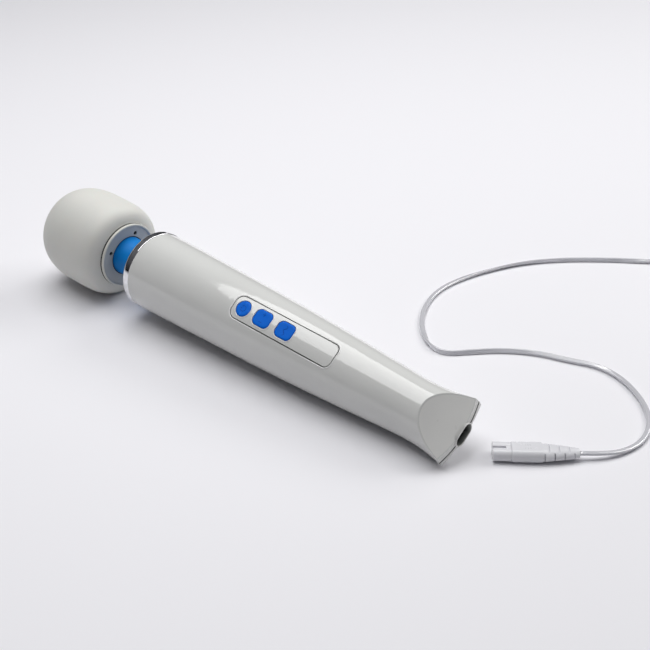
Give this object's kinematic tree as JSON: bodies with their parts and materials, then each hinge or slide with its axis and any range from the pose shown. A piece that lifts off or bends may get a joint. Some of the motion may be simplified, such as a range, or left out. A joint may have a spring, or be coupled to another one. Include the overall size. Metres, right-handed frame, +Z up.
{
  "type": "handheld wand massager",
  "caption": "Cordless handheld wand massager with a soft head on a flexible neck, push-button handle and a detached charging lead.",
  "frame": {"origin": "centre of the wand's own bounding box, on the table it lies on", "axes": "+X along the wand from head to tail, +Z up from the table, +Y to the side the lead lies on"},
  "size_m": [0.4113, 0.3299, 0.0621],
  "materials": {
    "silicone": "matte soft-touch silicone",
    "white_gloss": "glossy moulded ABS",
    "grey_satin": "satin moulded plastic",
    "plate_blue_grey": "satin moulded plastic",
    "chrome": "polished chrome plating",
    "neck_blue": "smooth moulded elastomer",
    "button_blue": "glossy moulded plastic",
    "dark_seal": "matte elastomer",
    "black_plastic": "moulded plastic",
    "nylon": "moulded nylon",
    "steel": "machined steel",
    "copper_parts": "wound copper and laminated steel",
    "cell_wrap": "shrink wrap",
    "board_green": "solder mask",
    "brass_pin": "plated contact",
    "lead_white": "glossy white PVC",
    "adapter_white": "fine-textured moulded plastic"
  },
  "bodies": {
    "handle": {"front_shell": "white_gloss", "rear_shell": "white_gloss", "tail_plate": "grey_satin", "control_panel": "white_gloss", "panel_seal": "dark_seal", "chrome_collar": "chrome", "neck_mount": "nylon", "motor_can": "steel", "motor_cradle": "black_plastic", "battery_cells": "cell_wrap", "battery_holder": "black_plastic", "circuit_board": "board_green", "tact_switches": "black_plastic", "indicator_lamps": "lead_white", "board_parts": "black_plastic", "inlet_socket": "grey_satin", "inlet_pins": "brass_pin", "inlet_wires": "dark_seal", "shell_screws": "steel", "connector_insert": "lead_white", "connector_shell": "lead_white", "connector_relief": "lead_white", "lead_cord": "lead_white", "lead_coil": "lead_white", "lead_tail": "lead_white", "adapter_case": "adapter_white", "adapter_blades": "brass_pin", "adapter_relief": "lead_white"},
    "rotor": {"motor_armature": "copper_parts", "motor_shaft": "steel", "drive_spring": "steel"},
    "neck": {"neck_core": "nylon", "neck_sleeve": "neck_blue"},
    "head": {"head_cap": "silicone", "head_housing": "nylon", "head_back_plate": "plate_blue_grey", "head_screws": "steel", "head_bearings": "steel"},
    "eccentric": {"eccentric_shaft": "steel", "eccentric_weight": "steel"},
    "power_button": {"power_button": "button_blue"},
    "level_button": {"level_button": "button_blue"},
    "pattern_button": {"pattern_button": "button_blue"}
  },
  "joints": [
    {"name": "head_pitch", "type": "hinge", "parent": "handle", "child": "neck", "pos_m": [-0.08999, 0, 0.02915], "axis": [0.0308, 0.7826, 0.6218], "range_deg": [-8, 8], "stiffness_Nm_per_rad": 25, "deforming": ["neck_sleeve"]},
    {"name": "head_yaw", "type": "hinge", "parent": "neck", "child": "head", "pos_m": [-0.08999, 0, 0.02915], "axis": [0.0387, -0.6225, 0.7816], "range_deg": [-8, 8], "stiffness_Nm_per_rad": 25, "deforming": ["drive_spring"]},
    {"name": "motor_spin", "type": "hinge", "parent": "handle", "child": "rotor", "pos_m": [-0.04455, 0, 0.0269], "axis": [0.9988, 0, -0.0495], "continuous": true},
    {"name": "eccentric_spin", "type": "hinge", "parent": "head", "child": "eccentric", "pos_m": [-0.12445, 0, 0.03086], "axis": [0.9988, 0, -0.0495], "continuous": true},
    {"name": "power_press", "type": "slide", "parent": "handle", "child": "power_button", "axis": [-0.0729, 0.6222, -0.7795], "range_m": [0, 0.0007], "stiffness_N_per_m": 500},
    {"name": "level_press", "type": "slide", "parent": "handle", "child": "level_button", "axis": [-0.0729, 0.6222, -0.7795], "range_m": [0, 0.0007], "stiffness_N_per_m": 500},
    {"name": "pattern_press", "type": "slide", "parent": "handle", "child": "pattern_button", "axis": [-0.0729, 0.6222, -0.7795], "range_m": [0, 0.0007], "stiffness_N_per_m": 500}
  ],
  "couplings": [
    {"joint": "eccentric_spin", "follows": "motor_spin", "ratio": 1}
  ]
}
